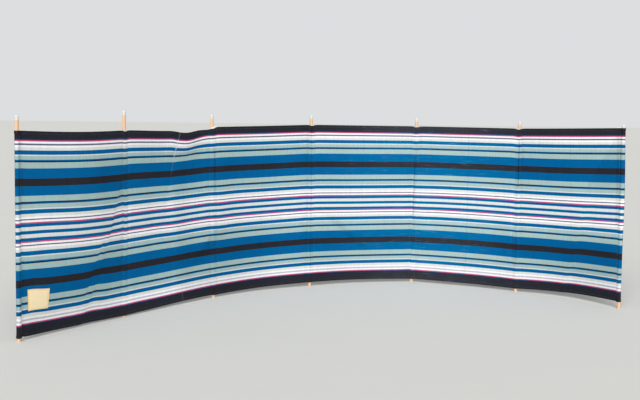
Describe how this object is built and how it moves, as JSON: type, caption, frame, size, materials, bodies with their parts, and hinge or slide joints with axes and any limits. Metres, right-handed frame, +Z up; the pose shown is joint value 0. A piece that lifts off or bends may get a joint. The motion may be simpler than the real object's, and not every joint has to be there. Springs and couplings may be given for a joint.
{
  "type": "beach windbreak",
  "caption": "Striped cloth windbreak standing in billowed bays between round wooden poles held in sewn pockets.",
  "frame": {"origin": "middle of the foot of pole 4, the middle pole, at ground level", "axes": "+Z up, +X to the right along the row as seen from the sheltered side, -Y out of the sheltered side"},
  "size_m": [4.0194, 2.2063, 1.397],
  "materials": {
    "pole_wood": "bare turned softwood",
    "cap_plastic": "white moulded",
    "striped_cloth": "woven canvas in blue, sage, cream and charcoal stripes",
    "pocket_cloth": "plain pale tape",
    "sleeve_cloth": "woven canvas in blue, sage, cream and charcoal stripes",
    "patch_cloth": "plain yellow cloth"
  },
  "bodies": {
    "root": {"cloth_bay_1": "striped_cloth", "cloth_bay_2": "striped_cloth", "cloth_bay_3": "striped_cloth", "cloth_bay_4": "striped_cloth", "cloth_bay_5": "striped_cloth", "cloth_bay_6": "striped_cloth", "end_sleeve_left": "sleeve_cloth", "end_sleeve_right": "sleeve_cloth", "label_patch": "patch_cloth", "pole_1": "pole_wood", "pole_2": "pole_wood", "pole_3": "pole_wood", "pole_4": "pole_wood", "pole_5": "pole_wood", "pole_6": "pole_wood", "pole_7": "pole_wood", "pole_cap_1": "cap_plastic", "pole_cap_2": "cap_plastic", "pole_cap_3": "cap_plastic", "pole_cap_4": "cap_plastic", "pole_cap_5": "cap_plastic", "pole_cap_6": "cap_plastic", "pole_cap_7": "cap_plastic", "pole_pocket_2": "pocket_cloth", "pole_pocket_3": "pocket_cloth", "pole_pocket_4": "pocket_cloth", "pole_pocket_5": "pocket_cloth", "pole_pocket_6": "pocket_cloth"}
  },
  "joints": []
}
